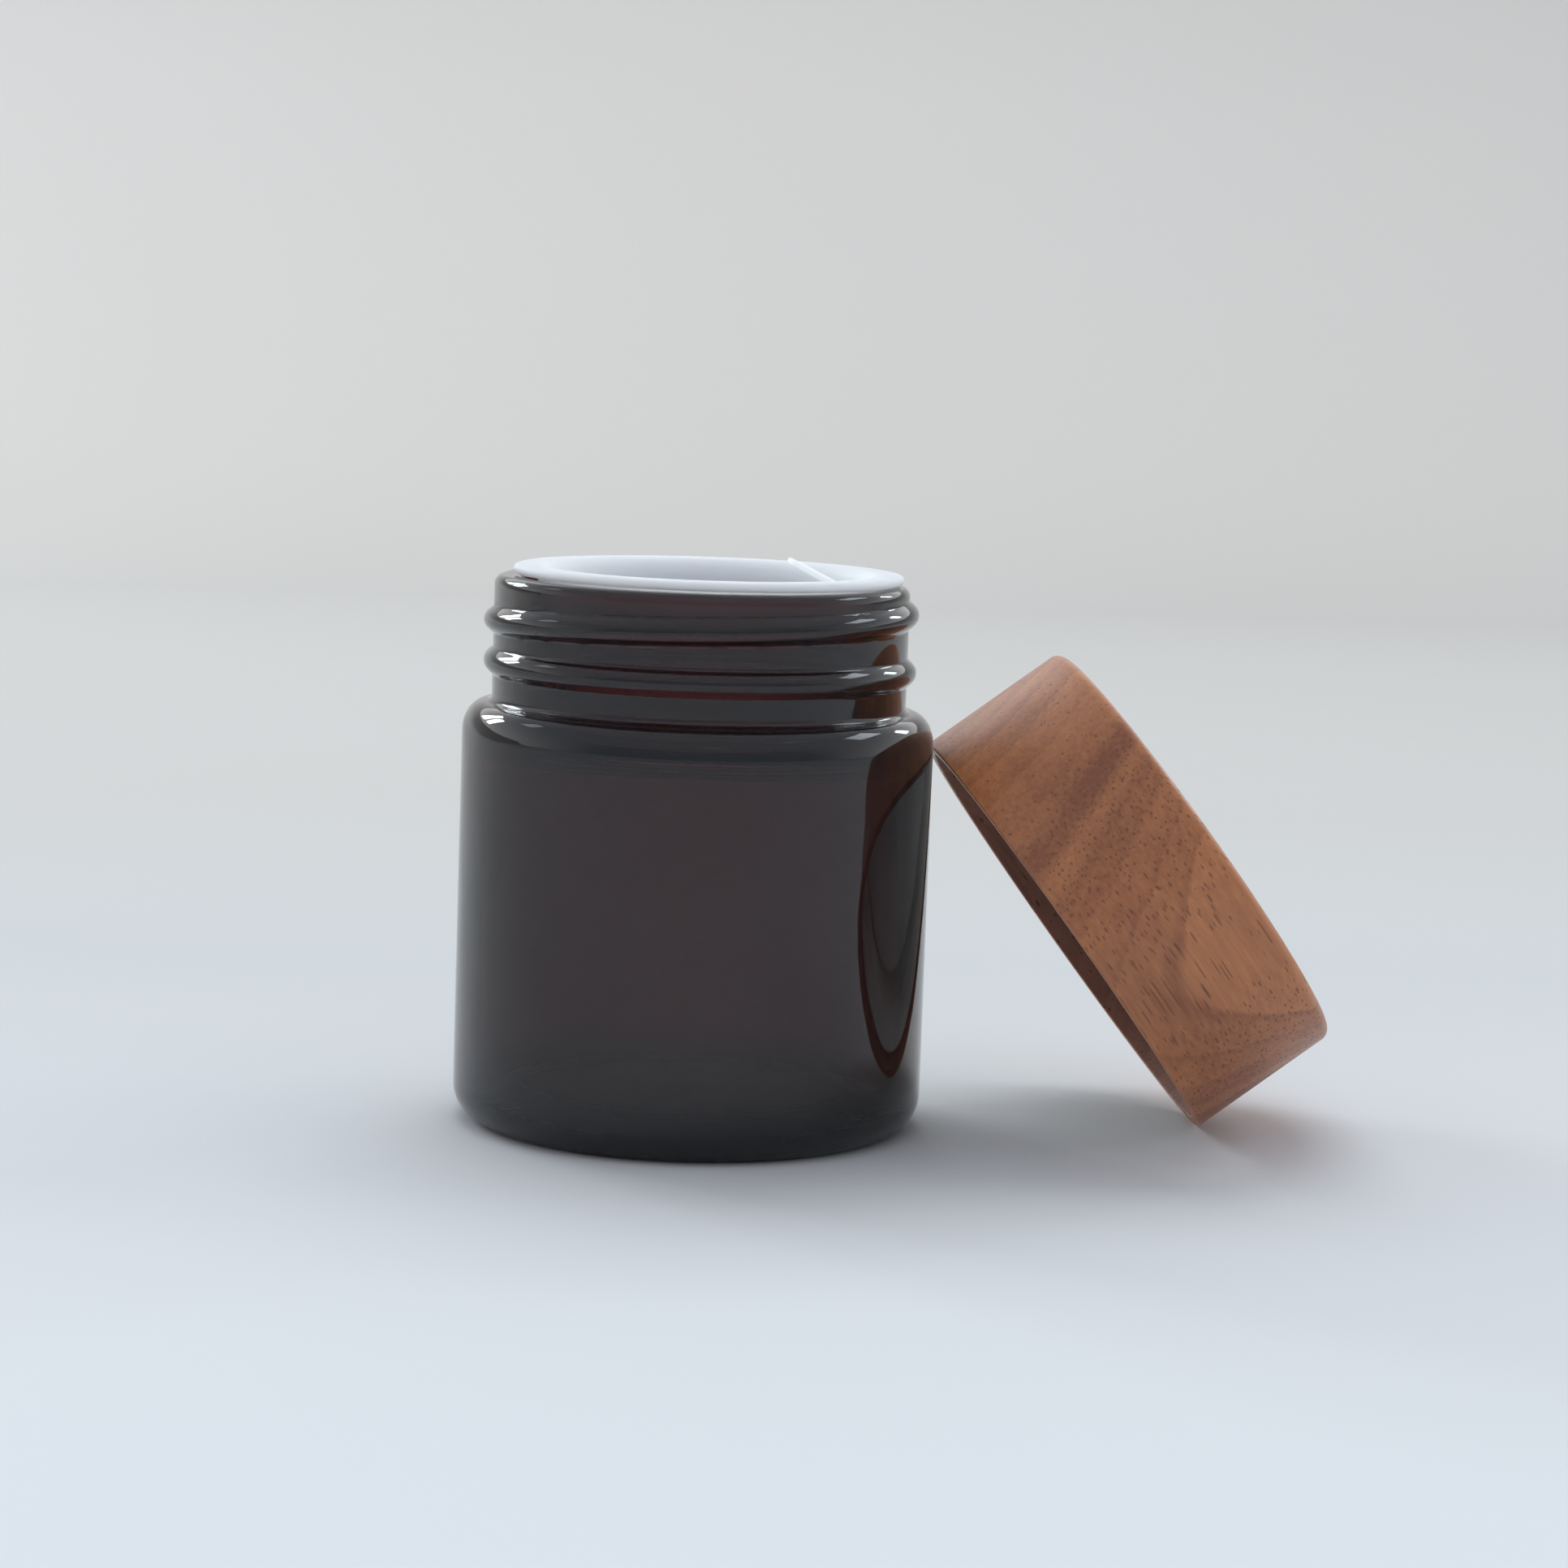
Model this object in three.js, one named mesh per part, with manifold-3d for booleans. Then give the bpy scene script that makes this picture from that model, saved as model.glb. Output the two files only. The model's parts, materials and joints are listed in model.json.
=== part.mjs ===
// Empty candle jar: a straight-sided amber glass screw jar. Its plastic inner seal
// lies in the mouth with the pull tab half raised, and its turned wooden lid is off,
// leaning on the side of the glass with its open side towards the jar.
// Millimetres, +Z up. Everything stands on Z = 0, and the origin is the middle of
// the footprint. The jar and the leaning lid lie along X.

import * as THREE from 'three';
import { mergeVertices } from 'three/addons/utils/BufferGeometryUtils.js';
import Module from 'manifold-3d';

const wasm = await Module();
wasm.setup();

const degrees = THREE.MathUtils.degToRad;
const QUARTER = Math.PI / 2;

// ---------------------------------------------------------------- driving dimensions

const SIDES = 48;                 // flats round every turned piece
const ARC_DIVISIONS = 2;          // a curved stretch of an outline gets twice this many chords
const MIN_STEP = 0.001;           // outline points closer than this are one point
const GAP = 0.25;                 // clearance between pieces that rest on each other

const JAR_RADIUS = 30.5;
const JAR_HEIGHT = 70.7;
const WALL = 3.3;
const FLOOR = 4.3;                // glass under the cavity at the heel
const FLOOR_CROWN = 0.5;          // the cavity floor rises this much at its middle
const HEEL_RADIUS = 4.5;
const CAVITY_HEEL_RADIUS = 4;
const BEARING_RING = 5;           // width of the flat ring that the jar stands on
const PUSH_UP = 1.2;              // hollow under the middle of the base
const SHOULDER_START = 50.6;      // top of the straight side
const SHOULDER_RISE = 3.8;
const CAVITY_SHOULDER_RADIUS = 2.5;
const CAVITY_NECK_RADIUS = 1.5;

const NECK_RADIUS = 26.8;
const NECK_FILLET = 0.8;
const BORE_RADIUS = 23.2;
const LIP_OUTER_RADIUS = 1.2;
const LIP_INNER_RADIUS = 0.8;
const BEAD_HEIGHT = 2.8;
const BEAD_DEPTH = 1.1;
const BEAD_Z = 59.65;             // closed bead under the thread
const THREAD_HEIGHT = 2.6;
const THREAD_DEPTH = 1.2;
const THREAD_PITCH = 4.6;
const THREAD_START = 63.75;       // middle of the thread where it begins, at the back
const THREAD_ROOT_OVERLAP = 0.4;  // the thread is sunk this far into the wall that carries it

const SEAL_FLANGE_RADIUS = 25.15;
const SEAL_FLANGE = 1.15;
const SEAL_EDGE_RADIUS = 0.5;
const SEAL_SHIFT = 0.77;          // the seal lies this far off the jar's axis
const DISH_RADIUS = 20.4;
const DISH_EDGE_RADIUS = 0.8;
const DISH_FLOOR_RADIUS = 19.6;
const DISH_DEPTH = 3.2;
const DISH_FILLET = 1;
const DISH_FLOOR = 0.9;
const PLUG_RADIUS = 22;
const PLUG_STRAIGHT = 1;
const SKIRT_RADIUS = 21.4;
const SKIRT_THICKNESS = 1;
const SKIRT_DROP = 4;             // depth of the plug skirt under the flange

const TAB_LENGTH = 9.5;
const TAB_ROOT_WIDTH = 9;
const TAB_TIP_RADIUS = 3.5;
const TAB_THICKNESS = 0.6;
const TAB_ROOT_OUT = 18.6;        // from the seal's axis to the tab's hinge line
const TAB_RAISED = degrees(26.5);
const TAB_AZIMUTH = degrees(-4);  // the tab's side of the dish, from +X

const LID_RADIUS = 30.9;
const LID_HEIGHT = 21.35;
const LID_TOP_EDGE = 1.3;
const LID_RIM_EDGE = 0.25;
const LID_MOUTH_CHAMFER = 0.3;
const LID_BORE_RADIUS = 29.2;
const LID_TOP = 2.4;              // wood over the insert
const LID_LEAN = degrees(53.22);  // between the rim's plane and the table
const LID_BEHIND = 3.7;           // the lid's middle lies this far behind the jar's axis
const LID_GAP = 0.55;             // clearance between the lid's rim and the jar's side

const INSERT_GAP = 0.25;          // glue line round the insert
const INSERT_WALL = 0.6;
const INSERT_WEB = 0.8;
const INSERT_RECESS = 3;          // from the wooden rim in to the insert's edge
const INSERT_THREAD_DEPTH = 1.05;
const INSERT_THREAD_HEIGHT = 2.2;
const INSERT_THREAD_START = 7.5;
const LINER_RADIUS = 27;
const LINER_THICKNESS = 1;

// ---------------------------------------------------------------- materials

const finish = (color, roughness) => new THREE.MeshStandardMaterial({ color, roughness, metalness: 0 });
const amberGlass = finish(0x2a1712, 0.06);
const whitePlastic = finish(0xf1f3f5, 0.35);
const wood = finish(0x9c6a44, 0.5);
const naturalPlastic = finish(0xe9e7e1, 0.4);
const foam = finish(0xf5f4f0, 0.85);

// ---------------------------------------------------------------- solid helpers

// One closed shell: shared corners are merged and collapsed triangles dropped.
function weld(geometry) {
  geometry.deleteAttribute('normal');
  geometry.deleteAttribute('uv');
  const merged = mergeVertices(geometry, MIN_STEP);
  const source = merged.index.array;
  const kept = [];
  for (let i = 0; i < source.length; i += 3) {
    const [a, b, c] = source.subarray(i, i + 3);
    if (a !== b && b !== c && c !== a) kept.push(a, b, c);
  }
  merged.setIndex(kept);
  return merged;
}

// Revolves an outline of (radius, height) points about Z. The outline runs with
// the material on its left, and starts and ends on the axis.
function turned(outline) {
  const points = outline.getPoints(ARC_DIVISIONS);
  const spaced = points.filter((p, i) => i === 0 || p.distanceTo(points[i - 1]) > MIN_STEP);
  return weld(new THREE.LatheGeometry(spaced, SIDES).rotateX(QUARTER));
}

function joined(...geometries) {
  const solids = geometries.map((geometry) => {
    const vertProperties = geometry.attributes.position.array;
    const triVerts = new Uint32Array(geometry.index.array);
    return new wasm.Manifold(new wasm.Mesh({ numProp: 3, vertProperties, triVerts }));
  });
  const { vertProperties, triVerts } = solids.reduce((whole, solid) => whole.add(solid)).getMesh();
  const geometry = new THREE.BufferGeometry();
  geometry.setAttribute('position', new THREE.BufferAttribute(vertProperties, 3));
  geometry.setIndex(new THREE.BufferAttribute(triVerts, 1));
  return geometry;
}

function named(name, geometry, material) {
  geometry.computeVertexNormals();
  const mesh = new THREE.Mesh(geometry, material);
  mesh.name = name;
  return mesh;
}

// A single turn of rounded screw thread, right-handed, starting at the back. It
// stands out of a cylinder of the given radius: outwards for side 1, inwards for -1.
function threadTurn({ radius, side, depth, height, start }) {
  const section = new THREE.Shape();
  section.moveTo(-THREAD_ROOT_OVERLAP, -height / 2);
  section.absellipse(0, 0, depth, height / 2, -QUARTER, QUARTER, false);
  section.lineTo(-THREAD_ROOT_OVERLAP, height / 2);
  const bead = new THREE.ExtrudeGeometry(section, {
    depth: 1, steps: SIDES, curveSegments: ARC_DIVISIONS * 2, bevelEnabled: false,
  });
  const fade = 0.1;               // part of the turn over which each end dies away
  const thinnest = 0.05;
  const position = bead.attributes.position;
  for (let i = 0; i < position.count; i += 1) {
    const along = side > 0 ? 1 - position.getZ(i) : position.getZ(i);
    const full = THREE.MathUtils.smoothstep(Math.min(along, 1 - along), 0, fade);
    const size = Math.max(full, thinnest);
    const r = radius + side * position.getX(i) * size;
    const angle = QUARTER + along * 2 * Math.PI;
    const z = start + along * THREAD_PITCH + position.getY(i) * size;
    position.setXYZ(i, r * Math.cos(angle), r * Math.sin(angle), z);
  }
  return weld(bead);
}

// ---------------------------------------------------------------- glass jar

function jarOutline() {
  const heelIn = JAR_RADIUS - HEEL_RADIUS;
  const shoulderTop = SHOULDER_START + SHOULDER_RISE;
  const shoulderIn = NECK_RADIUS + NECK_FILLET;
  const cavity = JAR_RADIUS - WALL;
  const ceiling = shoulderTop - WALL - NECK_FILLET;
  const outline = new THREE.Path();

  outline.moveTo(0, PUSH_UP);
  outline.quadraticCurveTo(heelIn / 2, PUSH_UP, heelIn - BEARING_RING, 0);
  outline.lineTo(heelIn, 0);
  outline.absarc(heelIn, HEEL_RADIUS, HEEL_RADIUS, -QUARTER, 0, false);
  outline.absellipse(shoulderIn, SHOULDER_START, JAR_RADIUS - shoulderIn, SHOULDER_RISE, 0, QUARTER, false);
  outline.absarc(shoulderIn, shoulderTop + NECK_FILLET, NECK_FILLET, -QUARTER, -2 * QUARTER, true);
  outline.absellipse(NECK_RADIUS, BEAD_Z, BEAD_DEPTH, BEAD_HEIGHT / 2, -QUARTER, QUARTER, false);
  outline.absarc(NECK_RADIUS - LIP_OUTER_RADIUS, JAR_HEIGHT - LIP_OUTER_RADIUS, LIP_OUTER_RADIUS,
    0, QUARTER, false);
  outline.absarc(BORE_RADIUS + LIP_INNER_RADIUS, JAR_HEIGHT - LIP_INNER_RADIUS, LIP_INNER_RADIUS,
    QUARTER, 2 * QUARTER, false);
  outline.absarc(BORE_RADIUS + CAVITY_NECK_RADIUS, ceiling + CAVITY_NECK_RADIUS, CAVITY_NECK_RADIUS,
    2 * QUARTER, 3 * QUARTER, false);
  outline.absarc(cavity - CAVITY_SHOULDER_RADIUS, ceiling - CAVITY_SHOULDER_RADIUS, CAVITY_SHOULDER_RADIUS,
    QUARTER, 0, true);
  outline.absarc(cavity - CAVITY_HEEL_RADIUS, FLOOR + CAVITY_HEEL_RADIUS, CAVITY_HEEL_RADIUS,
    0, -QUARTER, true);
  outline.lineTo(0, FLOOR + FLOOR_CROWN);
  return outline;
}

function glassJar() {
  const thread = threadTurn({
    radius: NECK_RADIUS, side: 1, depth: THREAD_DEPTH, height: THREAD_HEIGHT, start: THREAD_START,
  });
  return named('glass_jar', joined(turned(jarOutline()), thread), amberGlass);
}

// ---------------------------------------------------------------- inner seal

// Heights are from the underside of the flange.
function sealOutline() {
  const dishFloor = SEAL_FLANGE - DISH_DEPTH;
  const underFloor = dishFloor - DISH_FLOOR;
  const edgeIn = SEAL_FLANGE_RADIUS - SEAL_EDGE_RADIUS;
  const outline = new THREE.Path();

  outline.moveTo(0, underFloor);
  outline.lineTo(SKIRT_RADIUS - SKIRT_THICKNESS, underFloor);
  outline.lineTo(SKIRT_RADIUS - SKIRT_THICKNESS, -SKIRT_DROP);
  outline.lineTo(SKIRT_RADIUS, -SKIRT_DROP);
  outline.lineTo(PLUG_RADIUS, -PLUG_STRAIGHT);
  outline.lineTo(PLUG_RADIUS, 0);
  outline.absarc(edgeIn, SEAL_EDGE_RADIUS, SEAL_EDGE_RADIUS, -QUARTER, 0, false);
  outline.absarc(edgeIn, SEAL_FLANGE - SEAL_EDGE_RADIUS, SEAL_EDGE_RADIUS, 0, QUARTER, false);
  outline.absarc(DISH_RADIUS + DISH_EDGE_RADIUS, SEAL_FLANGE - DISH_EDGE_RADIUS, DISH_EDGE_RADIUS,
    QUARTER, 2 * QUARTER, false);
  outline.absarc(DISH_FLOOR_RADIUS - DISH_FILLET, dishFloor + DISH_FILLET, DISH_FILLET, 0, -QUARTER, true);
  outline.lineTo(0, dishFloor);
  return outline;
}

// A tongue that points along -X from its hinge line, which is the local Y axis.
function pullTab() {
  const tipMiddle = TAB_TIP_RADIUS - TAB_LENGTH;
  const shape = new THREE.Shape();
  shape.moveTo(0, -TAB_ROOT_WIDTH / 2);
  shape.lineTo(0, TAB_ROOT_WIDTH / 2);
  shape.absarc(tipMiddle, 0, TAB_TIP_RADIUS, QUARTER, 3 * QUARTER, false);
  const plate = new THREE.ExtrudeGeometry(shape, {
    depth: TAB_THICKNESS, curveSegments: 8, bevelEnabled: false,
  });
  plate.translate(0, 0, -TAB_THICKNESS / 2);
  return named('pull_tab', weld(plate), whitePlastic);
}

function innerSeal() {
  const tab = pullTab();
  tab.rotation.y = TAB_RAISED;
  tab.position.set(TAB_ROOT_OUT, 0, SEAL_FLANGE - DISH_DEPTH + GAP + TAB_THICKNESS / 2);
  const seal = new THREE.Group();
  seal.add(named('seal_disc', turned(sealOutline()), whitePlastic), tab);
  seal.rotation.z = TAB_AZIMUTH;
  seal.position.set(SEAL_SHIFT, 0, JAR_HEIGHT + GAP);
  return seal;
}

// ---------------------------------------------------------------- wooden screw lid

// Heights are from the plane of the lid's rim, up to its closed top.
function lidShellOutline() {
  const outline = new THREE.Path();
  outline.moveTo(0, LID_HEIGHT - LID_TOP);
  outline.lineTo(LID_BORE_RADIUS, LID_HEIGHT - LID_TOP);
  outline.lineTo(LID_BORE_RADIUS, LID_MOUTH_CHAMFER);
  outline.lineTo(LID_BORE_RADIUS + LID_MOUTH_CHAMFER, 0);
  outline.absarc(LID_RADIUS - LID_RIM_EDGE, LID_RIM_EDGE, LID_RIM_EDGE, -QUARTER, 0, false);
  outline.absarc(LID_RADIUS - LID_TOP_EDGE, LID_HEIGHT - LID_TOP_EDGE, LID_TOP_EDGE, 0, QUARTER, false);
  outline.lineTo(0, LID_HEIGHT);
  return outline;
}

const INSERT_TOP = LID_HEIGHT - LID_TOP - INSERT_GAP;
const INSERT_CEILING = INSERT_TOP - INSERT_WEB;

function insertOutline() {
  const outer = LID_BORE_RADIUS - INSERT_GAP;
  const inner = outer - INSERT_WALL;
  const outline = new THREE.Path();
  outline.moveTo(0, INSERT_CEILING);
  outline.lineTo(inner, INSERT_CEILING);
  outline.lineTo(inner, INSERT_RECESS);
  outline.lineTo(outer, INSERT_RECESS);
  outline.lineTo(outer, INSERT_TOP);
  outline.lineTo(0, INSERT_TOP);
  return outline;
}

function threadInsert() {
  const thread = threadTurn({
    radius: LID_BORE_RADIUS - INSERT_GAP - INSERT_WALL,
    side: -1,
    depth: INSERT_THREAD_DEPTH,
    height: INSERT_THREAD_HEIGHT,
    start: INSERT_THREAD_START,
  });
  return named('lid_thread_insert', joined(turned(insertOutline()), thread), naturalPlastic);
}

function linerOutline() {
  const top = INSERT_CEILING - INSERT_GAP;
  const outline = new THREE.Path();
  outline.moveTo(0, top - LINER_THICKNESS);
  outline.lineTo(LINER_RADIUS, top - LINER_THICKNESS);
  outline.lineTo(LINER_RADIUS, top);
  outline.lineTo(0, top);
  return outline;
}

// The lid rests on the lowest point of its rounded rim, and the highest point of
// the rim leans on the jar's side.
function leaningLid() {
  const edgeOut = LID_RADIUS - LID_RIM_EDGE;
  const lid = new THREE.Group();
  lid.add(
    named('wood_lid_shell', turned(lidShellOutline()), wood),
    threadInsert(),
    named('lid_liner', turned(linerOutline()), foam),
  );
  lid.rotation.y = LID_LEAN;
  lid.position.set(
    JAR_RADIUS + LID_GAP + LID_RIM_EDGE + edgeOut * Math.cos(LID_LEAN) - LID_RIM_EDGE * Math.sin(LID_LEAN),
    LID_BEHIND,
    LID_RIM_EDGE + edgeOut * Math.sin(LID_LEAN) - LID_RIM_EDGE * Math.cos(LID_LEAN),
  );
  return lid;
}

// ---------------------------------------------------------------- assembly

const candleJar = new THREE.Group();
candleJar.add(glassJar(), innerSeal(), leaningLid());

const box = new THREE.Box3().setFromObject(candleJar, true);
const middle = box.getCenter(new THREE.Vector3());
candleJar.position.set(-middle.x, -middle.y, -box.min.z);

export default candleJar;
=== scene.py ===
"""Looks of the empty candle jar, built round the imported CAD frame.

Metres, +Z up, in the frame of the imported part. Outlines are written in millimetres,
as (radius, height) from each piece's own axis and datum.
"""

import json
import math

import bpy
from mathutils import Matrix, Vector

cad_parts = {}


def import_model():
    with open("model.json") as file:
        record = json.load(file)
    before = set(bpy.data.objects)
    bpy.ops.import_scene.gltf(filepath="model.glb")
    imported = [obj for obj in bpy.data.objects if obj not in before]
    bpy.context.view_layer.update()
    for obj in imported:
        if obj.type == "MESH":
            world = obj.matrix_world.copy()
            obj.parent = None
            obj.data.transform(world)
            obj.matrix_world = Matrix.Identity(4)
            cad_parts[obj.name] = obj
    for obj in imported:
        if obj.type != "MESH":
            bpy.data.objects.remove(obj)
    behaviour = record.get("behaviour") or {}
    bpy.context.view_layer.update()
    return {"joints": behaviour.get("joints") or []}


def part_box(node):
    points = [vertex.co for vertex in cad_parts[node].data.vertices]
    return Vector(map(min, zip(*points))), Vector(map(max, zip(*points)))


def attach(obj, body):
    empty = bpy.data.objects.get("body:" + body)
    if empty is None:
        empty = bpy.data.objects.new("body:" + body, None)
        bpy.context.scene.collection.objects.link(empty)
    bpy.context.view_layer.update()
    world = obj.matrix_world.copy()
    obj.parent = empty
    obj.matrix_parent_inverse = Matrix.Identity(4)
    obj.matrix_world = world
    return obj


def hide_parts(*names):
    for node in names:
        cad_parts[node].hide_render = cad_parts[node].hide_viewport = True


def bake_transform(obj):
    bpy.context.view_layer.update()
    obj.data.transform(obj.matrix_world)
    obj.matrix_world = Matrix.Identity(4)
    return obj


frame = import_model()

MM = 0.001
TURN = 2 * math.pi
NEAR = 1e-6                       # closer than this counts as the same place, in millimetres
SHARPEST = math.radians(38)       # edges that turn by more than this are shaded sharp
JOINTS = {joint["name"]: joint for joint in frame["joints"]}

# ---------------------------------------------------------------- places from the frame


def middle(node):
    low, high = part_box(node)
    return (low + high) / 2


JAR_AXIS = middle("glass_jar").xy
JAR_PLACE = Matrix.Translation((*JAR_AXIS, 0))

SEAL_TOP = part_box("seal_disc")[1].z
SEAL_PLACE = Matrix.Translation((*middle("seal_disc").xy, SEAL_TOP))

# ---------------------------------------------------------------- millimetre dimensions

JAR_RADIUS = 30.5
JAR_HEIGHT = 70.7
JAR_INSIDE_RADIUS = 27.2
JAR_FOOT_RADIUS = 21              # inner edge of the ring that the jar stands on
PUSH_UP = 1.2                     # hollow under the floor
PUSH_UP_RADIUS = 14
FLOOR_EDGE = 4.3                  # inside of the floor, at the wall and at the middle
FLOOR_MIDDLE = 4.8
SHOULDER = 54.4
SHOULDER_UNDER = 49.6             # inside of the shoulder, at the wall and at the bore
BORE_UNDER = 51.2
NECK_RADIUS = 26.8
BORE_RADIUS = 23.2
BEAD_Z = 59.65
BEAD_DEPTH = 1.15
THREAD_START = 63.75
THREAD_PITCH = 4.6
THREAD_DEPTH = 1.25
RIDGE_REACH = 1.8                 # half the width of a ridge where it meets the wall
RIDGE_FADE = 0.1                  # part of the turn over which a thread's end dies away

LID_RADIUS = 30.9
LID_RIM_EDGE = 0.25
LID_HEIGHT = 21.35
LID_BORE = 29.2
LID_INSIDE_TOP = 18.95
INSERT_OUTER = 28.95
INSERT_INNER = 28.35
INSERT_RIM = 3
INSERT_TOP = 18.7
INSERT_CEILING = 17.9
INSERT_THREAD_START = 7.5
INSERT_THREAD_DEPTH = 1.05
INSERT_THREAD_REACH = 1.5
LINER_RADIUS = 27
LINER_TOP = 17.65
LINER_UNDER = 16.65

SEAL_RADIUS = 25.15
PLUG_RADIUS = 22
SKIRT_RADIUS = 21.4
DISH_EDGE = 20.4
DISH_WALL = 19.6
DISH_DEPTH = 3.2
DISH_UNDER = 4.1                  # depths below the top of the flange
SKIRT_UNDER = 5.15
PLUG_UNDER = 2.15
FLANGE_UNDER = 1.15
TAB_LENGTH = 9.5
TAB_HALF_ROOT = 4.5
TAB_TIP_RADIUS = 3.5
TAB_THICKNESS = 0.6

TIP = JOINTS["lid_tip"]
LEAN = math.radians(90 - TIP["range_deg"][1])
LEANING = Matrix.Rotation(LEAN, 4, "Y")
RIM_CONTACT = Vector(((LID_RADIUS - LID_RIM_EDGE) * MM, 0, LID_RIM_EDGE * MM))
LID_PLACE = Matrix.Translation(Vector(TIP["pos_m"]) - LEANING @ RIM_CONTACT) @ LEANING

FOLD = JOINTS["tab_fold"]
TAB_RAISED = math.radians(-FOLD["range_deg"][0])
TAB_AZIMUTH = math.atan2(-FOLD["axis"][0], FOLD["axis"][1])
TAB_PLACE = (
    Matrix.Translation(FOLD["pos_m"])
    @ Matrix.Rotation(TAB_AZIMUTH, 4, "Z")
    @ Matrix.Rotation(TAB_RAISED, 4, "Y")
)

# ---------------------------------------------------------------- mesh helpers


def rounded(corners, steps=8):
    """A line through corners (radius, height, near, far): each corner is replaced by a
    quarter of an ellipse that starts near before it and ends far after it."""
    points = []
    for i, corner in enumerate(corners):
        at = Vector(corner[:2])
        if len(corner) == 2:
            points.append(at)
            continue
        near, far = corner[2], corner[-1]
        start = at + (Vector(corners[i - 1][:2]) - at).normalized() * near
        end = at + (Vector(corners[i + 1][:2]) - at).normalized() * far
        hub = start + end - at
        for k in range(steps + 1):
            a = math.pi / 2 * k / steps
            points.append(hub + (start - hub) * math.cos(a) + (end - hub) * math.sin(a))
    return points


def refined(points, step):
    """The same line with no stretch longer than step."""
    fine = [points[0]]
    for a, b in zip(points, points[1:]):
        count = max(1, math.ceil((b - a).length / step))
        fine += [a.lerp(b, k / count) for k in range(1, count + 1)]
    return fine


def both_at(radius, a, b):
    return abs(a.x - radius) < NEAR and abs(b.x - radius) < NEAR


def new_piece(name, verts, faces, place, body, nodes, materials):
    """Places the vertices themselves, so that the object's own frame is the row's. The
    piece rides on one body, or is left to the caller where body is None."""
    mesh = bpy.data.meshes.new(name)
    mesh.from_pydata([place @ Vector(v) for v in verts], [], faces)
    mesh.validate()
    for material in materials:
        mesh.materials.append(material)
    mesh.polygons.foreach_set("use_smooth", [True] * len(mesh.polygons))
    mesh.set_sharp_from_angle(angle=SHARPEST)
    piece = bpy.data.objects.new(name, mesh)
    bpy.context.scene.collection.objects.link(piece)
    if body:
        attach(piece, body)
    if nodes:
        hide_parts(*nodes)
    return piece


def turned(points, sides, swell=None):
    """Vertices and faces of an outline turned about Z. It starts and ends on the axis,
    with the material on its left. swell(angle, radius, height) may add to a radius."""
    verts, faces, rows = [], [], []
    for p in points:
        if p.x < NEAR:
            rows.append([len(verts)] * sides)
            verts.append((0, 0, p.y * MM))
            continue
        rows.append(range(len(verts), len(verts) + sides))
        for k in range(sides):
            angle = TURN * k / sides
            r = p.x + (swell(angle, p.x, p.y) if swell else 0)
            verts.append((r * MM * math.cos(angle), r * MM * math.sin(angle), p.y * MM))
    for low, high in zip(rows, rows[1:]):
        for k in range(sides):
            n = (k + 1) % sides
            loop = [low[k], low[n], high[n], high[k]]
            faces.append(tuple(dict.fromkeys(loop)))
    return verts, faces


def ridge(offset, depth, reach):
    """Height of a blunt rounded ridge, with hollow feet, at a distance from its crest."""
    u = min(abs(offset) / reach, 1)
    return depth * (1 - u ** 2.4) ** 1.3


def thread(angle, z, start, depth, reach):
    """One right-handed turn that starts at the back and dies away at both ends."""
    along = ((angle - TURN / 4) / TURN) % 1
    t = min(along, 1 - along) / RIDGE_FADE
    full = 1 if t >= 1 else t * t * (3 - 2 * t)
    return ridge(z - start - along * THREAD_PITCH, depth * full, reach)


# ---------------------------------------------------------------- materials


def new_material(name):
    material = bpy.data.materials.new(name)
    material.use_nodes = True
    tree = material.node_tree
    shader = tree.nodes["Principled BSDF"]
    return material, tree, shader


def put(tree, kind, inputs=None, **settings):
    """Adds a node. An input is a value or another node's socket."""
    node = tree.nodes.new(kind)
    for key, value in settings.items():
        setattr(node, key, value)
    for key, value in (inputs or {}).items():
        socket = node.inputs[key]
        if isinstance(value, bpy.types.NodeSocket):
            tree.links.new(value, socket)
        else:
            socket.default_value = value
    return node


def maths(tree, operation, a, b=0.0, c=0.0, clamp=False):
    node = put(tree, "ShaderNodeMath", {0: a, 1: b, 2: c}, operation=operation, use_clamp=clamp)
    return node.outputs[0]


def in_mm(tree):
    """The row's coordinates, in millimetres."""
    coordinates = put(tree, "ShaderNodeTexCoord").outputs["Object"]
    scaled = put(tree, "ShaderNodeVectorMath", {0: coordinates, "Scale": 1 / MM}, operation="SCALE")
    return scaled.outputs[0]


def in_lid_mm(tree):
    """The lid's own coordinates, in millimetres, with its axis along Z and its rim at 0."""
    coordinates = put(tree, "ShaderNodeTexCoord").outputs["Object"]
    return put(tree, "ShaderNodeMapping", {
        "Vector": coordinates, "Location": LID_PLACE.translation, "Rotation": (0, LEAN, 0),
        "Scale": (MM, MM, MM),
    }, vector_type="TEXTURE").outputs[0]


def stretched(tree, vector, factors):
    node = put(tree, "ShaderNodeVectorMath", {0: vector, 1: factors}, operation="MULTIPLY")
    return node.outputs[0]


def noise_at(tree, vector, scale, detail=3.0, roughness=0.5):
    return put(tree, "ShaderNodeTexNoise", {
        "Vector": vector, "Scale": scale, "Detail": detail, "Roughness": roughness,
    }).outputs["Fac"]


NOISE_LOW, NOISE_HIGH = 0.3, 0.7   # the span that nearly all of a noise lies in


def ranged(tree, value, low, high, to_low=0.0, to_high=1.0):
    return put(tree, "ShaderNodeMapRange", {
        "Value": value, "From Min": low, "From Max": high, "To Min": to_low, "To Max": to_high,
    }).outputs[0]


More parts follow.
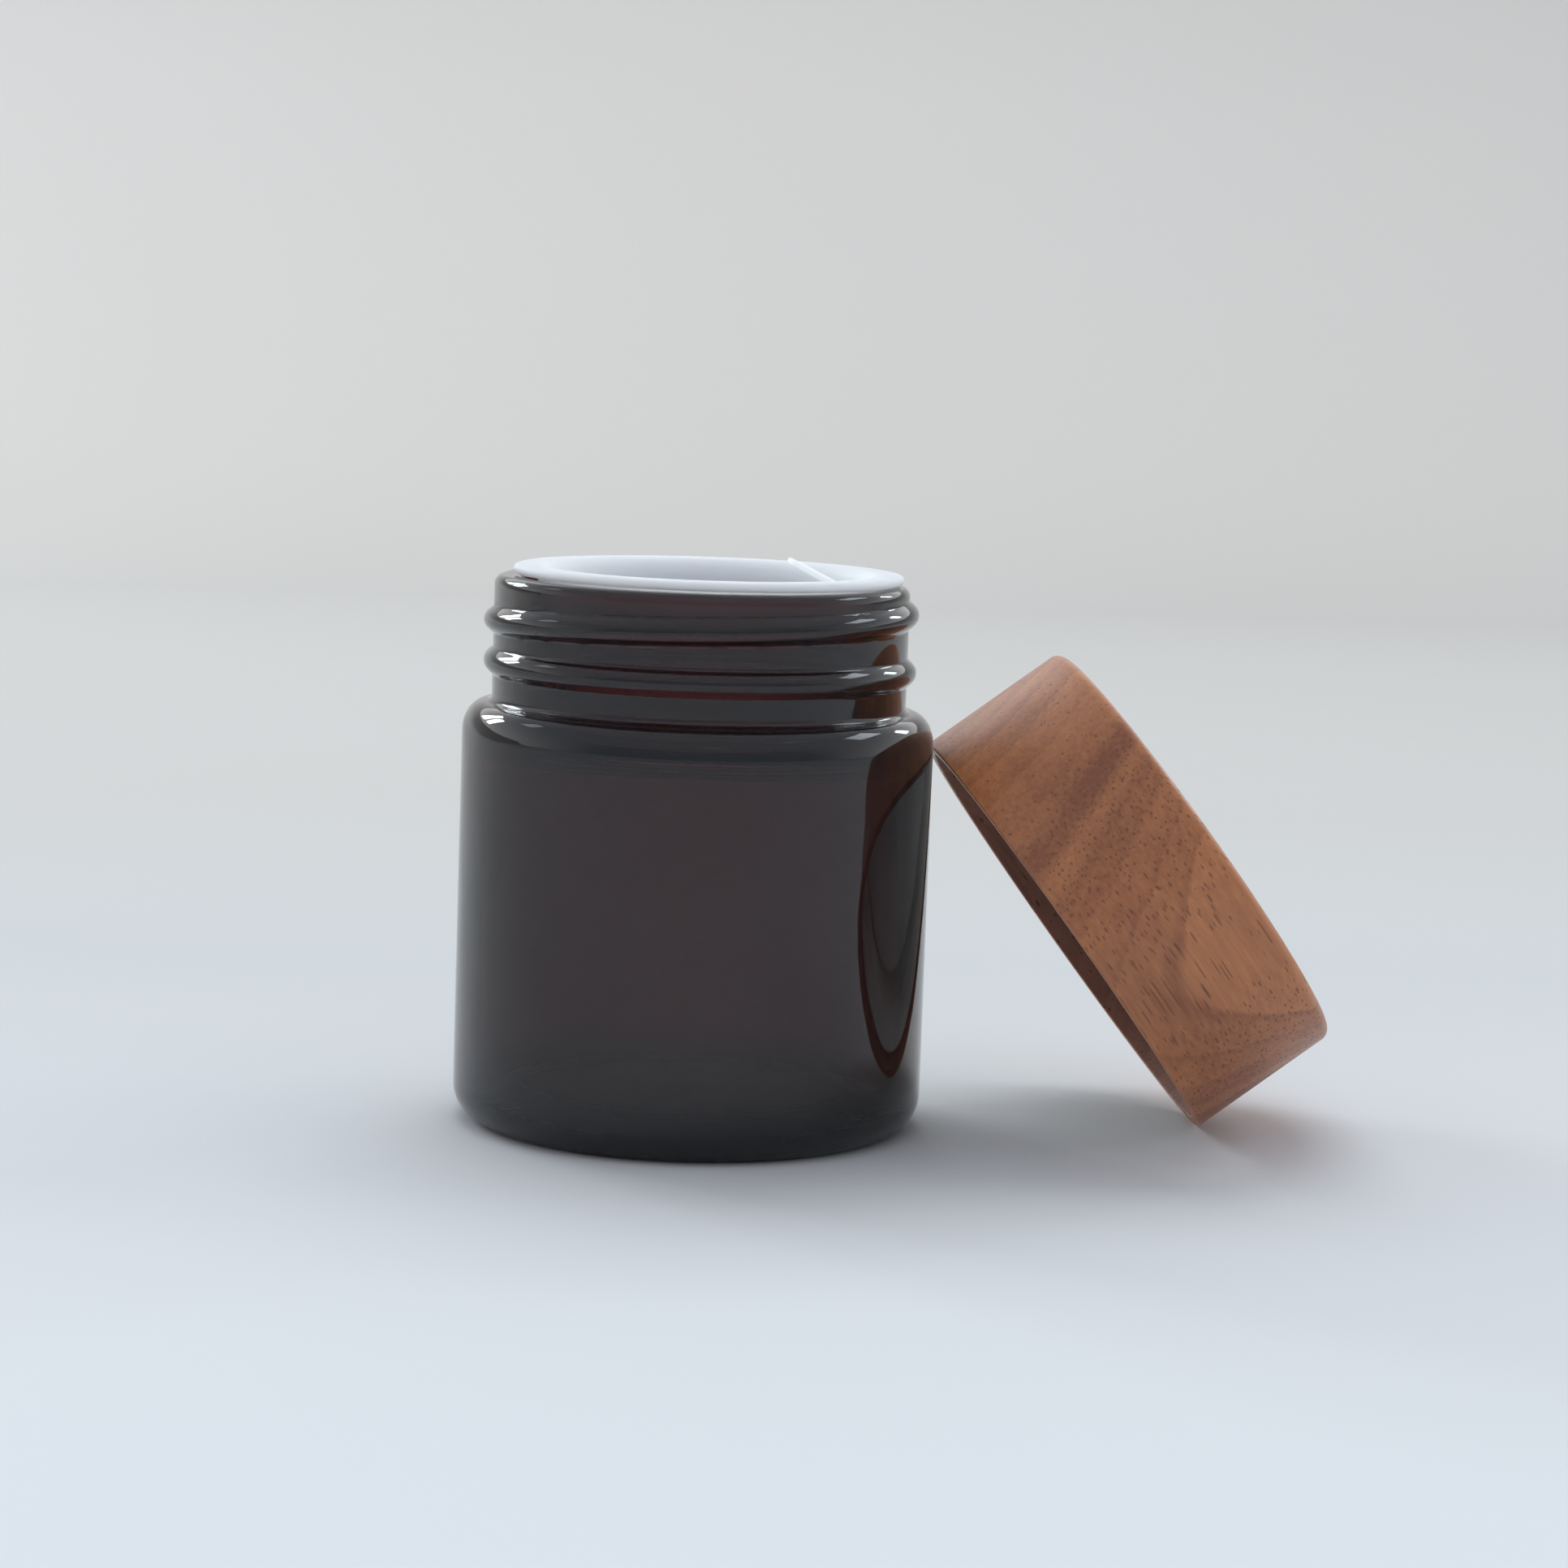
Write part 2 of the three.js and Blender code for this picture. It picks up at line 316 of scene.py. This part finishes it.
def mixed(tree, share, a, b, blend="MIX"):
    node = tree.nodes.new("ShaderNodeMix")
    node.data_type = "RGBA"
    node.blend_type = blend
    for socket, value in ((node.inputs[0], share), (node.inputs[6], a), (node.inputs[7], b)):
        if isinstance(value, bpy.types.NodeSocket):
            tree.links.new(value, socket)
        elif isinstance(value, tuple):
            socket.default_value = (*value, 1)
        else:
            socket.default_value = value
    return node.outputs[2]


def set_stops(ramp, stops, start, span):
    """Sets a colour ramp to (place, colour) stops, where places run from start over span."""
    while len(ramp.elements) > 1:
        ramp.elements.remove(ramp.elements[-1])
    for k, (place, colour) in enumerate(stops):
        at = (place - start) / span
        stop = ramp.elements[0] if k == 0 else ramp.elements.new(at)
        stop.position = at
        stop.color = (*colour, 1)


def set_bump(tree, shader, height, strength, depth):
    bump = put(tree, "ShaderNodeBump", {"Height": height, "Strength": strength, "Distance": depth})
    tree.links.new(bump.outputs[0], shader.inputs["Normal"])


def amber_glass():
    material, tree, shader = new_material("amber_glass")
    where = in_mm(tree)
    smudge = noise_at(tree, where, 0.12, 4)
    shader.inputs["Base Color"].default_value = (0.88, 0.89, 0.95, 1)
    shader.inputs["Transmission Weight"].default_value = 0.99
    shader.inputs["IOR"].default_value = 1.52
    tree.links.new(ranged(tree, smudge, 0.35, 0.75, 0.0, 0.035), shader.inputs["Roughness"])
    set_bump(tree, shader, noise_at(tree, where, 0.11, 1), 0.16, 0.0004)
    absorb = put(tree, "ShaderNodeVolumeAbsorption", {
        "Color": (0.42, 0.05, 0.04, 1), "Density": 940,
    })
    tree.links.new(absorb.outputs[0], tree.nodes["Material Output"].inputs["Volume"])
    return material


def moulded(name, colour, shade, roughness, scatter, depth):
    """Moulded plastic that light sinks into, to a depth in metres."""
    material, tree, shader = new_material(name)
    where = in_mm(tree)
    cloud = noise_at(tree, where, 0.09, 3)
    grain = noise_at(tree, where, 2.2, 4, 0.6)
    tint = mixed(tree, ranged(tree, cloud, NOISE_LOW, NOISE_HIGH), colour, shade)
    tree.links.new(tint, shader.inputs["Base Color"])
    gloss = ranged(tree, grain, NOISE_LOW, NOISE_HIGH, roughness - 0.06, roughness + 0.06)
    tree.links.new(gloss, shader.inputs["Roughness"])
    shader.inputs["Subsurface Weight"].default_value = scatter
    shader.inputs["Subsurface Radius"].default_value = (1, 0.95, 0.9)
    shader.inputs["Subsurface Scale"].default_value = depth
    set_bump(tree, shader, grain, 0.12, 0.0001)
    return material


def foam():
    material, tree, shader = new_material("liner_foam")
    bubbles = put(tree, "ShaderNodeTexVoronoi", {"Vector": in_mm(tree), "Scale": 1.6})
    cells = bubbles.outputs["Distance"]
    tint = mixed(tree, ranged(tree, cells, 0.0, 0.6), (0.86, 0.85, 0.82), (0.93, 0.92, 0.9))
    tree.links.new(tint, shader.inputs["Base Color"])
    shader.inputs["Roughness"].default_value = 0.85
    set_bump(tree, shader, cells, 0.5, 0.0002)
    return material


GRAIN_TURN = math.radians(15)     # fibre direction in the plane of the lid's rim
PITH = (0, 53, -12)               # middle of the growth rings, millimetres, fibres along X
RING_WIDTH = 4.4
RING_START = 76.6
ZONES_FROM = 60                   # distance from the pith where the list of zones starts
ZONES_SPAN = 35
ZONES = (                         # distance from the pith, darkness
    (60, 0.5), (70, 0.5), (73, 0.62), (74.7, 0.92), (76.3, 0.86), (77.4, 0.5), (78.3, 0.55),
    (79.4, 0.78), (80.2, 0.6), (81.3, 0.72), (81.9, 0.5), (83.6, 0.54), (84, 0.7), (84.2, 0.46),
    (85.6, 0.54), (86.15, 0.76), (86.4, 0.3), (91, 0.28), (95, 0.45),
)


def vessels(tree, grain, wobble, spread, radius, run, missing):
    """Tubes along the fibres, each broken into runs: 1 inside a tube, 0 outside."""
    parts = put(tree, "ShaderNodeSeparateXYZ", {0: grain})
    across = put(tree, "ShaderNodeCombineXYZ", {0: parts.outputs[1], 1: parts.outputs[2]})
    section = stretched(tree, across.outputs[0], (1 / spread, 1 / spread, 0))
    swayed = put(tree, "ShaderNodeVectorMath", {0: wobble, 1: (2.2, 2.2, 0), 2: section},
                 operation="MULTIPLY_ADD").outputs[0]
    cell = put(tree, "ShaderNodeTexVoronoi", {"Vector": swayed, "Scale": 1.0},
               voronoi_dimensions="2D")
    luck = put(tree, "ShaderNodeSeparateColor", {0: cell.outputs["Color"]})
    size = ranged(tree, luck.outputs[0], 0.0, 1.0, 0.6 * radius / spread, 1.25 * radius / spread)
    inside = ranged(tree, maths(tree, "SUBTRACT", size, cell.outputs["Distance"]), -0.02, 0.08)
    along = maths(tree, "DIVIDE", parts.outputs[0], run)
    station = maths(tree, "MULTIPLY_ADD", luck.outputs[1], 90.0, along)
    gaps = put(tree, "ShaderNodeTexNoise", {"W": station, "Scale": 1.0, "Detail": 0.0},
               noise_dimensions="1D").outputs["Fac"]
    there = ranged(tree, maths(tree, "SUBTRACT", gaps, missing), 0.0, 0.05)
    return maths(tree, "MULTIPLY", inside, there)


def growth_rings(tree, grain):
    """Distance from the pith, the dark late part of each ring, and the tone of the zone."""
    drift = noise_at(tree, stretched(tree, grain, (0.012, 0.05, 0.05)), 1.0)
    reach = put(tree, "ShaderNodeVectorMath", {
        0: stretched(tree, grain, (0, 1, 1)), 1: PITH,
    }, operation="DISTANCE").outputs["Value"]
    reach = maths(tree, "ADD", reach, ranged(tree, drift, NOISE_LOW, NOISE_HIGH, -0.6, 0.6))
    outward = maths(tree, "SUBTRACT", reach, RING_START)
    ring = maths(tree, "FRACT", maths(tree, "DIVIDE", outward, RING_WIDTH))
    rise = maths(tree, "POWER", ring, 1.5)
    late = maths(tree, "MULTIPLY", rise, ranged(tree, ring, 0.9, 1.0, 1.0, 0.0))
    place = ranged(tree, reach, ZONES_FROM, ZONES_FROM + ZONES_SPAN)
    zones = put(tree, "ShaderNodeValToRGB", {0: place})
    greys = [(distance, (tone, tone, tone)) for distance, tone in ZONES]
    set_stops(zones.color_ramp, greys, ZONES_FROM, ZONES_SPAN)
    return reach, late, zones.outputs[0]


def lighter_edge_mask(tree, place):
    """1 on the outer edges of the lid's top and rim, 0 elsewhere."""
    parts = put(tree, "ShaderNodeSeparateXYZ", {0: place})
    y_squared = maths(tree, "MULTIPLY", parts.outputs[1], parts.outputs[1])
    radius = maths(tree, "SQRT", maths(
        tree, "MULTIPLY_ADD", parts.outputs[0], parts.outputs[0], y_squared,
    ))
    top_edge = ranged(tree, parts.outputs[2], LID_HEIGHT - 1.2, LID_HEIGHT - 0.5)
    rim_edge = ranged(tree, parts.outputs[2], 0.5, 0.15)
    either = maths(tree, "ADD", top_edge, rim_edge, clamp=True)
    return maths(tree, "MULTIPLY", either, ranged(tree, radius, LID_RADIUS - 1.4, LID_RADIUS - 0.6))


def wood(name, light, dark, pore, roughness, coat):
    """Growth rings about a far pith, with pores that run along the fibres, as a solid
    texture, so that the side, the end grain and the inside all agree."""
    material, tree, shader = new_material(name)
    place = in_lid_mm(tree)
    fibres = put(tree, "ShaderNodeMapping", {"Vector": place, "Rotation": (0, 0, -GRAIN_TURN)})
    grain = fibres.outputs[0]
    reach, late, zone = growth_rings(tree, grain)

    streak = noise_at(tree, stretched(tree, grain, (0.12, 1.5, 1.5)), 1.0, 4, 0.65)
    cloud = noise_at(tree, stretched(tree, grain, (0.04, 0.1, 0.1)), 1.0)
    bands = maths(tree, "MULTIPLY", late, ranged(tree, reach, 60, 73, 0.3, 0.08))
    shade = maths(tree, "ADD", zone, bands)
    streaks = ranged(tree, streak, NOISE_LOW, NOISE_HIGH, -0.24, 0.16)
    shade = maths(tree, "ADD", shade, streaks)
    shade = maths(tree, "ADD", shade, ranged(tree, cloud, 0.35, 0.65, -0.14, 0.14), clamp=True)
    colour = mixed(tree, shade, light, dark)

    wobble = put(tree, "ShaderNodeTexNoise", {
        "Vector": stretched(tree, grain, (0.035, 0.06, 0.06)), "Scale": 1.0, "Detail": 1.0,
    }).outputs["Color"]
    sparse = ranged(tree, reach, 70, 77, 0.3, 0.0)
    missing = maths(tree, "ADD", sparse, ranged(tree, zone, 0.3, 0.7, 0.5, 0.4))
    many = vessels(tree, grain, wobble, 0.62, 0.15, 4.2, missing)
    few = vessels(tree, grain, wobble, 1.9, 0.19, 6.5, 0.52)
    pits = maths(tree, "MAXIMUM", maths(tree, "MULTIPLY", many, 0.75), few)
    colour = mixed(tree, maths(tree, "MULTIPLY", pits, 0.85), colour, pore)

    # the outer edges of the lid's top and rim are painted a little lighter, towards the light wood
    # tone
    lighter_edges = lighter_edge_mask(tree, place)
    edges_lightened = mixed(tree, maths(tree, "MULTIPLY", lighter_edges, 0.3), colour, light)
    tree.links.new(edges_lightened, shader.inputs["Base Color"])
    gloss = ranged(tree, pits, 0.0, 1.0, roughness, roughness + 0.25)
    tree.links.new(gloss, shader.inputs["Roughness"])
    shader.inputs["Coat Weight"].default_value = coat
    shader.inputs["Coat Roughness"].default_value = 0.4
    relief = maths(tree, "SUBTRACT", maths(tree, "MULTIPLY", streak, 0.3), pits)
    set_bump(tree, shader, relief, 0.3, 0.0001)
    return material


GLASS = amber_glass()
WHITE = moulded("seal_plastic", (0.845, 0.86, 0.865), (0.815, 0.83, 0.84), 0.6, 1.0, 0.006)
NATURAL = moulded("insert_plastic", (0.82, 0.8, 0.75), (0.76, 0.74, 0.69), 0.42, 0.3, 0.0012)
FOAM = foam()
WOOD = wood(
    "lid_wood", (0.6, 0.227, 0.078), (0.245, 0.069, 0.023), (0.165, 0.047, 0.018), 0.42, 0.4
)
BARE_WOOD = wood(
    "bare_wood", (0.36, 0.15, 0.095), (0.2, 0.08, 0.052), (0.08, 0.03, 0.02), 0.7, 0.0
)

# ---------------------------------------------------------------- pieces


def jar_swell(angle, radius, z):
    if abs(radius - NECK_RADIUS) > NEAR:
        return 0
    bead = ridge(z - BEAD_Z, BEAD_DEPTH, RIDGE_REACH)
    return max(bead, thread(angle, z, THREAD_START, THREAD_DEPTH, RIDGE_REACH))


def build_jar():
    corners = rounded([
        (0, PUSH_UP), (PUSH_UP_RADIUS, PUSH_UP, 8, 6), (JAR_FOOT_RADIUS, 0, 1.5, 1),
        (JAR_RADIUS, 0, 4.5), (JAR_RADIUS, SHOULDER, 3.8, 2.9), (NECK_RADIUS, SHOULDER, 0.8),
        (NECK_RADIUS, JAR_HEIGHT, 1.2), (BORE_RADIUS, JAR_HEIGHT, 0.9),
        (BORE_RADIUS, BORE_UNDER, 2.5, 2), (JAR_INSIDE_RADIUS, SHOULDER_UNDER, 2, 3),
        (JAR_INSIDE_RADIUS, FLOOR_EDGE, 4.2), (0, FLOOR_MIDDLE),
    ])
    outline = []
    for a, b in zip(corners, corners[1:]):
        on_neck = both_at(NECK_RADIUS, a, b)
        outline += refined([a, b], 0.16 if on_neck else 3)[:-1]
    outline.append(Vector((0, FLOOR_MIDDLE)))
    verts, faces = turned(outline, 256, jar_swell)
    return new_piece(
        "amber_jar", verts, faces, JAR_PLACE, "jar", ["glass_jar"], [GLASS]
    )


def build_seal():
    outline = rounded([
        (0, -DISH_UNDER), (DISH_EDGE, -DISH_UNDER, 0.4), (DISH_EDGE, -SKIRT_UNDER, 0.3),
        (SKIRT_RADIUS, -SKIRT_UNDER, 0.3), (PLUG_RADIUS, -PLUG_UNDER, 0.5),
        (PLUG_RADIUS, -FLANGE_UNDER, 0.35), (SEAL_RADIUS, -FLANGE_UNDER, 0.5),
        (SEAL_RADIUS, 0, 0.6), (DISH_EDGE, 0, 1.3, 1.2), (DISH_WALL, -DISH_DEPTH, 1.1, 1.1),
        (0, -DISH_DEPTH),
    ])
    verts, faces = turned(outline, 192)
    return new_piece(
        "inner_seal", verts, faces, SEAL_PLACE, "seal", ["seal_disc"], [WHITE]
    )


def build_tab():
    """A tongue along -X from the hinge line, in rings that round its edge over."""
    tip = TAB_TIP_RADIUS - TAB_LENGTH
    outline = [Vector((0, -TAB_HALF_ROOT)), Vector((0, TAB_HALF_ROOT))]
    for k in range(25):
        a = math.pi / 2 + math.pi * k / 24
        outline.append(Vector((tip + TAB_TIP_RADIUS * math.cos(a), TAB_TIP_RADIUS * math.sin(a))))
    centre = Vector((-TAB_LENGTH / 2, 0))
    half = TAB_THICKNESS / 2
    edge = [(0.2, -half), (0.05, -half * 0.8), (0, 0), (0.05, half * 0.8), (0.2, half)]
    count = len(outline)
    verts, faces = [], []
    for inset, z in edge:
        for p in outline:
            q = p + (centre - p).normalized() * inset
            verts.append((q.x * MM, q.y * MM, z * MM))
    for row in range(len(edge) - 1):
        for k in range(count):
            n = (k + 1) % count
            low, high = row * count, (row + 1) * count
            faces.append((low + n, low + k, high + k, high + n))
    faces.append(tuple(range(count)))
    faces.append(tuple(range(len(verts) - 1, len(verts) - 1 - count, -1)))
    return new_piece(
        "seal_pull_tab", verts, faces, TAB_PLACE, "tab", ["pull_tab"], [WHITE]
    )


HINGE_HALF_WIDTH = 4
HINGE_THICKNESS = 0.36
HINGE_PATH = ((0.85, -0.42), (0.45, -0.26), (0, 0), (-0.7, 0.39))   # out from the hinge line, up


def build_hinge():
    """The thin web that joins the tab to the wall of the dish, bent where the tab folds."""
    line = refined([Vector(p) for p in HINGE_PATH], 0.12)
    turn = Matrix.Translation(FOLD["pos_m"]) @ Matrix.Rotation(TAB_AZIMUTH, 4, "Z")
    verts, faces = [], []
    for p in line:
        for y, z in ((-1, -1), (1, -1), (1, 1), (-1, 1)):
            up = p.y + z * HINGE_THICKNESS / 2
            verts.append((p.x * MM, y * HINGE_HALF_WIDTH * MM, up * MM))
    for row in range(len(line) - 1):
        for k in range(4):
            n = (k + 1) % 4
            faces.append((4 * row + k, 4 * row + n, 4 * row + 4 + n, 4 * row + 4 + k))
    last = len(verts) - 1
    faces += [(3, 2, 1, 0), (last - 3, last - 2, last - 1, last)]
    web = new_piece("tab_hinge_web", verts, faces, turn, None, [], [WHITE])
    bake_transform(web)
    return web


def build_lid():
    outline = rounded([
        (0, LID_INSIDE_TOP), (LID_BORE, LID_INSIDE_TOP, 0.3), (LID_BORE, 0, 0.3),
        (LID_RADIUS, 0, LID_RIM_EDGE), (LID_RADIUS, LID_HEIGHT, 1.36), (0, LID_HEIGHT),
    ])
    verts, faces = turned(refined(outline, 2), 256)
    lid = new_piece(
        "wooden_lid", verts, faces, LID_PLACE, "lid", ["wood_lid_shell"],
        [WOOD, BARE_WOOD],
    )
    to_lid = LID_PLACE.inverted()
    for face in lid.data.polygons:
        c = to_lid @ face.center
        within = math.hypot(c.x, c.y) < (LID_BORE + 0.05) * MM
        face.material_index = 1 if within and c.z < (LID_INSIDE_TOP + 0.1) * MM else 0
    return lid


def insert_swell(angle, radius, z):
    if abs(radius - INSERT_INNER) > NEAR:
        return 0
    return -thread(angle, z, INSERT_THREAD_START, INSERT_THREAD_DEPTH, INSERT_THREAD_REACH)


def build_insert():
    corners = rounded([
        (0, INSERT_CEILING), (INSERT_INNER, INSERT_CEILING, 0.4), (INSERT_INNER, INSERT_RIM, 0.15),
        (INSERT_OUTER, INSERT_RIM, 0.15), (INSERT_OUTER, INSERT_TOP, 0.4), (0, INSERT_TOP),
    ], 4)
    outline = []
    for a, b in zip(corners, corners[1:]):
        on_wall = both_at(INSERT_INNER, a, b)
        outline += refined([a, b], 0.2 if on_wall else 4)[:-1]
    outline.append(Vector((0, INSERT_TOP)))
    verts, faces = turned(outline, 192, insert_swell)
    return new_piece(
        "threaded_insert", verts, faces, LID_PLACE, "lid",
        ["lid_thread_insert"], [NATURAL],
    )


def build_liner():
    outline = rounded([
        (0, LINER_UNDER), (23.4, LINER_UNDER, 0.4), (24, LINER_UNDER + 0.15, 0.3),
        (26.2, LINER_UNDER + 0.15, 0.3), (26.6, LINER_UNDER, 0.2), (LINER_RADIUS, LINER_UNDER, 0.2),
        (LINER_RADIUS, LINER_TOP, 0.2), (0, LINER_TOP),
    ], 4)
    verts, faces = turned(outline, 128)
    return new_piece(
        "foam_liner", verts, faces, LID_PLACE, "lid", ["lid_liner"], [FOAM]
    )


build_jar()
build_seal()
build_tab()
build_hinge()
build_lid()
build_insert()
build_liner()

# ---------------------------------------------------------------- stage, light and camera

SWEEP_HALF_WIDTH = 8
SWEEP_FRONT = -8
BEND_START = 0.9
BEND_RADIUS = 0.5
PAPER_FROM = -0.2                 # depth behind the object where the list of tones starts
PAPER_SPAN = 1.6
PAPER_TONES_PAINTED_LIGHT = (                   # depth, colour; the colours carry painted light and shade
    (-0.2, (0.74, 0.76, 0.775)), (-0.1, (0.73, 0.74, 0.745)), (0, (0.665, 0.665, 0.67)),
    (0.12, (0.595, 0.6, 0.59)), (0.32, (0.565, 0.545, 0.515)), (0.9, (0.525, 0.498, 0.468)),
    (1.1, (0.62, 0.585, 0.54)), (1.3, (0.7, 0.655, 0.61)),
)


def sweep():
    """A pale floor that curves up behind the object, with light and shade painted into its colour:
    lighter and cooler in front, darker and warmer towards the bend, lighter again up the bend.
    """
    line = [(SWEEP_FRONT, 0), (-1.6, 0)] + [(0.03 * k - 0.6, 0) for k in range(50)]
    for k in range(25):
        a = math.pi / 2 * k / 24
        line.append((BEND_START + BEND_RADIUS * math.sin(a), BEND_RADIUS * (1 - math.cos(a))))
    verts = [(x, y, z) for y, z in line for x in (-SWEEP_HALF_WIDTH, SWEEP_HALF_WIDTH)]
    faces = [(2 * k, 2 * k + 1, 2 * k + 3, 2 * k + 2) for k in range(len(line) - 1)]
    material, tree, shader = new_material("paper_painted_light")
    coordinates = put(tree, "ShaderNodeTexCoord").outputs["Object"]
    depth = put(tree, "ShaderNodeSeparateXYZ", {0: coordinates}).outputs[1]
    place = ranged(tree, depth, PAPER_FROM, PAPER_FROM + PAPER_SPAN)
    # painted light and shade: the paper's colour is set by depth, lighter in front, darker towards
    # the bend and lighter up it
    painted_light_ramp = put(tree, "ShaderNodeValToRGB", {0: place})
    set_stops(painted_light_ramp.color_ramp, PAPER_TONES_PAINTED_LIGHT, PAPER_FROM, PAPER_SPAN)
    tint = painted_light_ramp.outputs[0]
    cloud = noise_at(tree, coordinates, 3, 2)
    share = ranged(tree, cloud, NOISE_LOW, NOISE_HIGH, 0.0, 0.06)
    tint = mixed(tree, share, tint, (0.62, 0.64, 0.68))
    tree.links.new(tint, shader.inputs["Base Color"])
    shader.inputs["Roughness"].default_value = 0.8
    shader.inputs["Specular IOR Level"].default_value = 0.2
    mesh = bpy.data.meshes.new("sweep")
    mesh.from_pydata(verts, [], faces)
    mesh.materials.append(material)
    mesh.polygons.foreach_set("use_smooth", [True] * len(mesh.polygons))
    floor = bpy.data.objects.new("sweep", mesh)
    bpy.context.scene.collection.objects.link(floor)


WINDOW_REACH = 1.5
WINDOW_AIM = Vector((-0.02, 0, 0.05))
DAYLIGHT = (0.86, 0.95, 1.0)
WINDOWS = (                       # name, azimuth, elevation, width, height, radiance, mirrored
    ("left_pane", -45, 23, 7, 13, 14, True),
    ("left_pane_inner", -34, 24, 7, 14, 12, True),
    ("left_side_pane", -62, 40, 10, 8, 1.5, True),
    ("right_pane", 47, 25, 7, 9, 9, True),
    ("high_back", 0, 60, 45, 30, 3.2, False),
    ("right_side_pane", 69, 41, 22, 9, 3.5, True),
    ("front_tube", 178, 33, 14, 0.8, 1.6, True),
    ("front_right_tube", 120, 51, 12, 0.8, 1.6, True),
)


def direction(heading, rise):
    """The unit vector at a heading from the back towards +X, and at a rise, in radians."""
    level = math.cos(rise)
    return Vector((math.sin(heading) * level, math.cos(heading) * level, math.sin(rise)))


def window(name, azimuth, elevation, wide, high, radiance, mirrored):
    """A pane of light seen from the object at an azimuth from the back towards +X, at an
    elevation, and as wide and high as given, all in degrees. One that isn't mirrored
    lights the object without showing in its highlights."""
    away = direction(math.radians(azimuth), math.radians(elevation))
    data = bpy.data.lights.new(name, "AREA")
    data.shape = "RECTANGLE"
    data.size = WINDOW_REACH * math.radians(wide)
    data.size_y = WINDOW_REACH * math.radians(high)
    data.energy = radiance * math.pi * data.size * data.size_y
    data.color = DAYLIGHT
    light = bpy.data.objects.new(name, data)
    light.visible_glossy = mirrored
    light.location = WINDOW_AIM + away * WINDOW_REACH
    light.rotation_euler = (-away).to_track_quat("-Z", "Y").to_euler()
    bpy.context.scene.collection.objects.link(light)


FRONT_WALL = (0.36, 0.385, 0.46)
BACK_WALL = (2.0, 1.98, 1.96)
CEILING = (0.57, 0.6, 0.66)


def world():
    """A dim front wall, a bright back wall and a grey ceiling, blended by direction."""
    sky = bpy.data.worlds.new("room")
    sky.use_nodes = True
    tree = sky.node_tree
    heading = put(tree, "ShaderNodeTexCoord").outputs["Generated"]
    facing = put(tree, "ShaderNodeSeparateXYZ", {0: heading})
    walls = mixed(tree, ranged(tree, facing.outputs[1], -0.6, 0.9), FRONT_WALL, BACK_WALL)
    tint = mixed(tree, ranged(tree, facing.outputs[2], 0.15, 0.65), walls, CEILING)
    tree.links.new(tint, tree.nodes["Background"].inputs["Color"])
    bpy.context.scene.world = sky


CAMERA_FROM_JAR = Vector((-38.85, -505.48, 106.04))   # millimetres, from the foot of its axis
CAMERA_HEADING = math.radians(5.681)                  # to the right of straight back
CAMERA_DIP = math.radians(6.918)
CAMERA_ROLL = math.radians(2.031)
CAMERA_LENS = 90.34
CAMERA_SENSOR = 36


def camera():
    """Stands in front of the jar and a little to its left, turned right, down and askew."""
    place = Vector((*JAR_AXIS, 0)) + CAMERA_FROM_JAR * MM
    look = direction(CAMERA_HEADING, -CAMERA_DIP)
    side = Vector((math.cos(CAMERA_HEADING), -math.sin(CAMERA_HEADING), 0))
    up = side.cross(look)
    right = side * math.cos(CAMERA_ROLL) + up * math.sin(CAMERA_ROLL)
    top = up * math.cos(CAMERA_ROLL) - side * math.sin(CAMERA_ROLL)
    turn = Matrix((right, top, -look)).transposed().to_4x4()
    data = bpy.data.cameras.new("camera")
    data.sensor_width = CAMERA_SENSOR
    data.lens = CAMERA_LENS
    data.clip_start, data.clip_end = 0.01, 20
    shot = bpy.data.objects.new("camera", data)
    shot.matrix_world = Matrix.Translation(place) @ turn
    bpy.context.scene.collection.objects.link(shot)
    bpy.context.scene.camera = shot


sweep()
world()
for pane in WINDOWS:
    window(*pane)
camera()
bpy.context.scene.view_settings.view_transform = "Standard"
